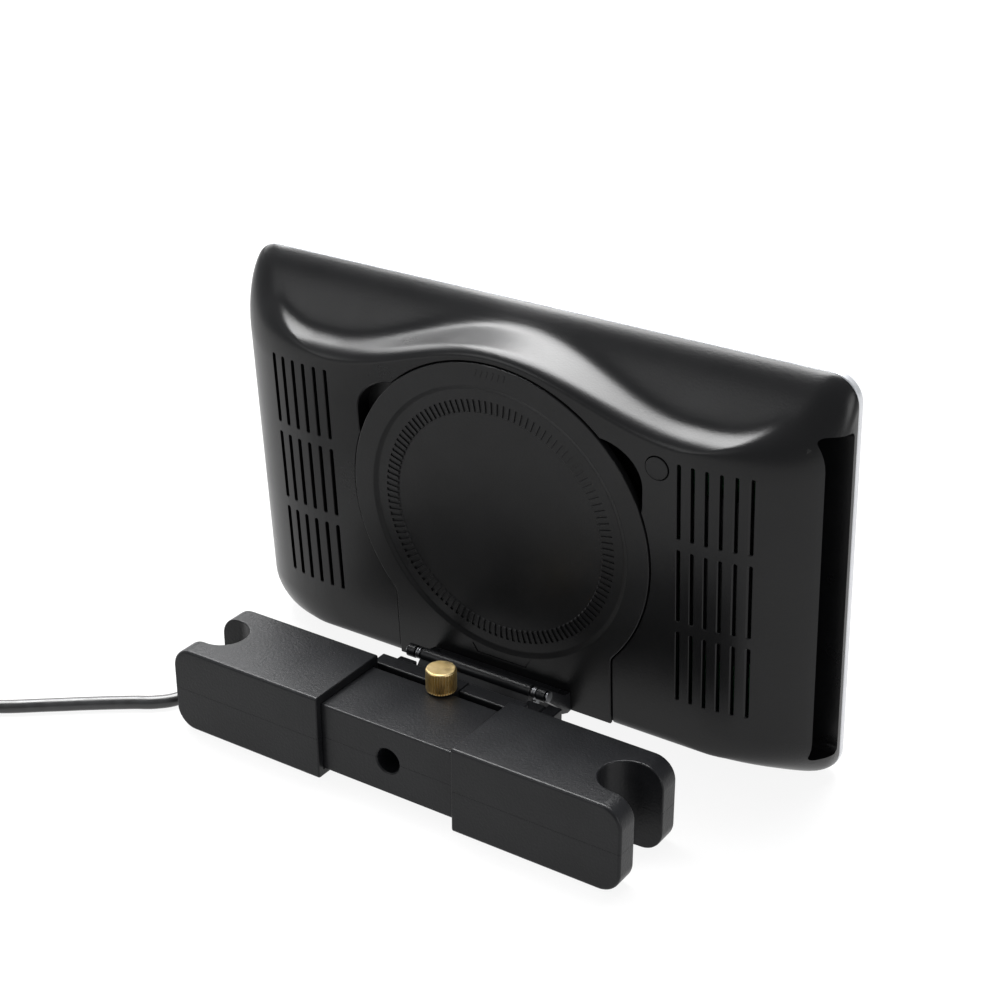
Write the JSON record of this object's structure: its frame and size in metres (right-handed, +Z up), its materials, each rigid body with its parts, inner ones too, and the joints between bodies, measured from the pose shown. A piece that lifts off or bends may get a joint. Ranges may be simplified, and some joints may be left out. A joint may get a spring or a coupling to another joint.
{
  "type": "headrest monitor with telescopic post bracket",
  "caption": "Flat car monitor with a round disc lid on its back, tilt-hinged to a telescopic bracket that grips the posts of a headrest, with a coiled power cord.",
  "frame": {"origin": "on the ground plane, in the middle of the footprint of the monitor and its bracket, without the cord", "axes": "+X to the right seen from the lid side, +Y from the bracket towards the screen side, +Z up"},
  "size_m": [0.326, 0.245, 0.1539],
  "materials": {
    "bracket_plastic": "fine grained satin black",
    "housing_plastic": "semi-gloss black",
    "lid_plastic": "satin black",
    "silver_trim": "satin silver paint",
    "brass": "knurled and polished",
    "steel": "machined",
    "screen_glass": "dark polished screen cover",
    "dark_parts": "moulded",
    "circuit_board": "green solder mask",
    "cord_rubber": "smooth black jacket"
  },
  "bodies": {
    "bracket": {"block_lower": "bracket_plastic", "block_upper": "bracket_plastic", "hinge_carrier": "bracket_plastic", "thread_insert": "brass", "carrier_screw": "steel", "block_screw_1": "steel", "block_screw_2": "steel", "cord_gland": "cord_rubber", "cord": "cord_rubber", "cord_coil": "cord_rubber", "cord_tail": "cord_rubber", "plug_relief": "cord_rubber", "plug_body": "cord_rubber", "plug_tip": "steel"},
    "left_sleeve": {"left_sleeve_lower": "bracket_plastic", "left_sleeve_upper": "bracket_plastic", "left_sleeve_screw_1": "steel", "left_sleeve_screw_2": "steel"},
    "right_sleeve": {"right_sleeve_lower": "bracket_plastic", "right_sleeve_upper": "bracket_plastic", "right_sleeve_screw_1": "steel", "right_sleeve_screw_2": "steel"},
    "thumb_screw": {"thumb_screw": "brass"},
    "lid": {"disc_lid": "lid_plastic", "mount_arm": "bracket_plastic", "tilt_pin": "steel", "friction_ring_left": "steel", "friction_ring_right": "steel", "arm_screw_1": "steel", "arm_screw_2": "steel"},
    "housing": {"back_shell": "housing_plastic", "disc_tray": "lid_plastic", "spindle_motor": "steel", "sled_rail_left": "steel", "sled_rail_right": "steel", "front_bezel": "housing_plastic", "silver_trim": "silver_trim", "screen_glass": "screen_glass", "lcd_panel": "dark_parts", "main_board": "circuit_board", "speaker_left": "dark_parts", "speaker_right": "dark_parts", "port_plate": "housing_plastic", "usb_socket": "steel", "card_socket": "steel", "audio_jack": "dark_parts", "video_jack": "dark_parts", "lid_pin": "steel"},
    "spindle": {"spindle_hub": "steel"},
    "laser_sled": {"laser_sled": "steel"},
    "release_button": {"release_button": "lid_plastic"},
    "power_key": {"power_key": "housing_plastic"},
    "source_key": {"source_key": "housing_plastic"},
    "volume_down_key": {"volume_down_key": "housing_plastic"},
    "volume_up_key": {"volume_up_key": "housing_plastic"}
  },
  "joints": [
    {"name": "left_sleeve_slide", "type": "slide", "parent": "bracket", "child": "left_sleeve", "axis": [1, 0, 0], "range_m": [0, 0.02]},
    {"name": "right_sleeve_slide", "type": "slide", "parent": "bracket", "child": "right_sleeve", "axis": [-1, 0, 0], "range_m": [0, 0.02]},
    {"name": "thumb_screw_turn", "type": "hinge", "parent": "bracket", "child": "thumb_screw", "pos_m": [0.001, -0.0195, 0.03], "axis": [0, 0, 1], "range_deg": [0, 720]},
    {"name": "tilt", "type": "hinge", "parent": "bracket", "child": "lid", "pos_m": [0, 0.004, 0.024], "axis": [1, 0, 0], "range_deg": [-25, 85]},
    {"name": "lid_opening", "type": "hinge", "parent": "lid", "child": "housing", "pos_m": [0, 0.02352, 0.01253], "axis": [-1, 0, 0], "range_deg": [0, 35]},
    {"name": "release_button_press", "type": "slide", "parent": "housing", "child": "release_button", "axis": [0, 0.9979, 0.0654], "range_m": [0, 0.0015], "stiffness_N_per_m": 400},
    {"name": "spindle_spin", "type": "hinge", "parent": "housing", "child": "spindle", "pos_m": [0, 0.02382, 0.07829], "axis": [0, -0.9979, -0.0654], "continuous": true},
    {"name": "sled_travel", "type": "slide", "parent": "housing", "child": "laser_sled", "axis": [0, 0.0654, -0.9979], "range_m": [0, 0.02]},
    {"name": "power_key_press", "type": "slide", "parent": "housing", "child": "power_key", "axis": [0, -0.9979, -0.0654], "range_m": [0, 0.0008], "stiffness_N_per_m": 600},
    {"name": "source_key_press", "type": "slide", "parent": "housing", "child": "source_key", "axis": [0, -0.9979, -0.0654], "range_m": [0, 0.0008], "stiffness_N_per_m": 600},
    {"name": "volume_down_key_press", "type": "slide", "parent": "housing", "child": "volume_down_key", "axis": [0, -0.9979, -0.0654], "range_m": [0, 0.0008], "stiffness_N_per_m": 600},
    {"name": "volume_up_key_press", "type": "slide", "parent": "housing", "child": "volume_up_key", "axis": [0, -0.9979, -0.0654], "range_m": [0, 0.0008], "stiffness_N_per_m": 600}
  ]
}
